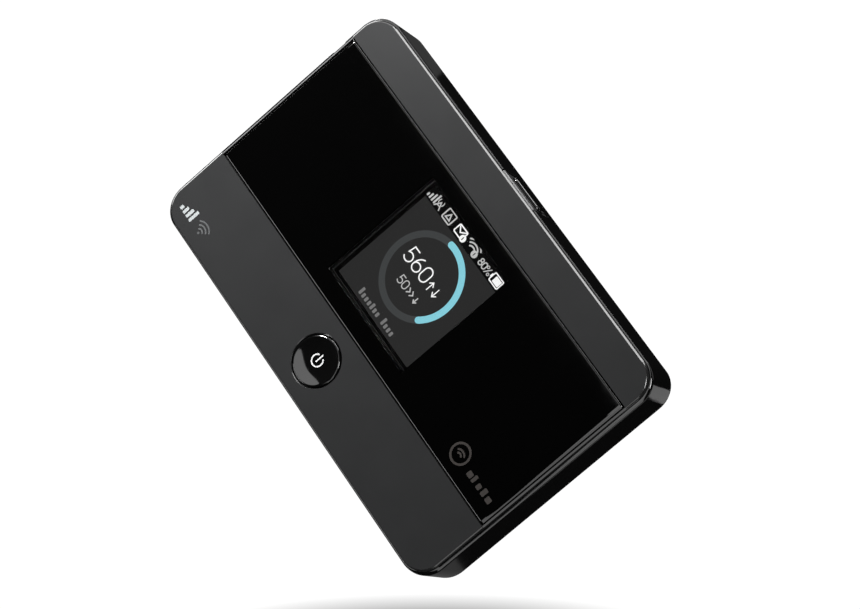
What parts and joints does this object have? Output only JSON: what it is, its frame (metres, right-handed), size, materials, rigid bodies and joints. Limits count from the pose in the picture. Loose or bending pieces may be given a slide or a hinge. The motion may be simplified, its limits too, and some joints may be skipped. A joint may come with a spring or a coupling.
{
  "type": "mobile hotspot",
  "caption": "Pocket mobile hotspot with a screen behind a glossy window, satin bands, a round power button, a side menu button and a removable back cover over the battery.",
  "frame": {"origin": "centre of the device's footprint at the flat back face, the device lying on its back cover", "axes": "+Z out of the screen, +X along the long side in the screen's reading direction, +Y towards the side with the menu button"},
  "size_m": [0.106, 0.0663, 0.0158],
  "materials": {
    "satin_shell": "fine satin grain",
    "gloss_shell": "high gloss",
    "window_gloss": "polished acrylic, printed black behind",
    "gloss_key": "high gloss",
    "frame_plastic": "fine grain",
    "white_plastic": "smooth",
    "black_plastic": "smooth",
    "steel_sheet": "plain sheet",
    "screw_steel": "dark plated",
    "gold": "gold plated",
    "copper": "bare copper",
    "board_laminate": "solder mask",
    "screen": "lit colour screen",
    "foam": "foam",
    "adhesive": "film",
    "polyimide": "flexible circuit",
    "battery_wrap": "printed wrap"
  },
  "bodies": {
    "casing": {"battery_connector": "black_plastic", "battery_contact_1": "gold", "battery_contact_2": "gold", "battery_contact_3": "gold", "case_screw_1": "screw_steel", "case_screw_2": "screw_steel", "case_screw_3": "screw_steel", "case_screw_4": "screw_steel", "case_screw_5": "screw_steel", "case_screw_6": "screw_steel", "display_backlight": "white_plastic", "display_bezel": "steel_sheet", "display_connector": "white_plastic", "display_flex": "polyimide", "display_gasket": "foam", "display_panel": "screen", "front_cover": "satin_shell", "front_window": "window_gloss", "lte_antenna_diversity": "copper", "lte_antenna_main": "copper", "main_board": "board_laminate", "memory_card_socket": "steel_sheet", "menu_switch": "steel_sheet", "micro_usb_shell": "steel_sheet", "micro_usb_tongue": "black_plastic", "mid_frame": "frame_plastic", "modem_shield_can": "steel_sheet", "power_shield_can": "steel_sheet", "power_switch": "steel_sheet", "reset_switch": "steel_sheet", "sim_socket": "steel_sheet", "wifi_antenna": "copper", "wifi_shield_can": "steel_sheet", "window_adhesive": "adhesive"},
    "power_button": {"power_button": "gloss_key", "power_switch_plunger": "white_plastic"},
    "menu_button": {"menu_button": "gloss_key", "menu_switch_plunger": "white_plastic"},
    "reset_button": {"reset_button": "white_plastic"},
    "back_cover": {"back_cover": "gloss_shell"},
    "battery": {"battery_pack": "battery_wrap", "battery_end_cap": "black_plastic"}
  },
  "joints": [
    {"name": "power_button_press", "type": "slide", "parent": "casing", "child": "power_button", "axis": [0, 0, -1], "range_m": [0, 0.00035], "stiffness_N_per_m": 1500},
    {"name": "menu_button_press", "type": "slide", "parent": "casing", "child": "menu_button", "axis": [0, -1, 0], "range_m": [0, 0.00035], "stiffness_N_per_m": 1500},
    {"name": "reset_button_press", "type": "slide", "parent": "casing", "child": "reset_button", "axis": [0, 0, 1], "range_m": [0, 0.00025], "stiffness_N_per_m": 1500},
    {"name": "back_cover_release", "type": "slide", "parent": "casing", "child": "back_cover", "axis": [0, 0, -1], "range_m": [0, 0.026]},
    {"name": "battery_release", "type": "slide", "parent": "casing", "child": "battery", "axis": [0, 0, -1], "range_m": [0, 0.0092]}
  ],
  "couplings": [
    {"joint": "battery_release", "follows": "back_cover_release", "ratio": 0.35}
  ]
}
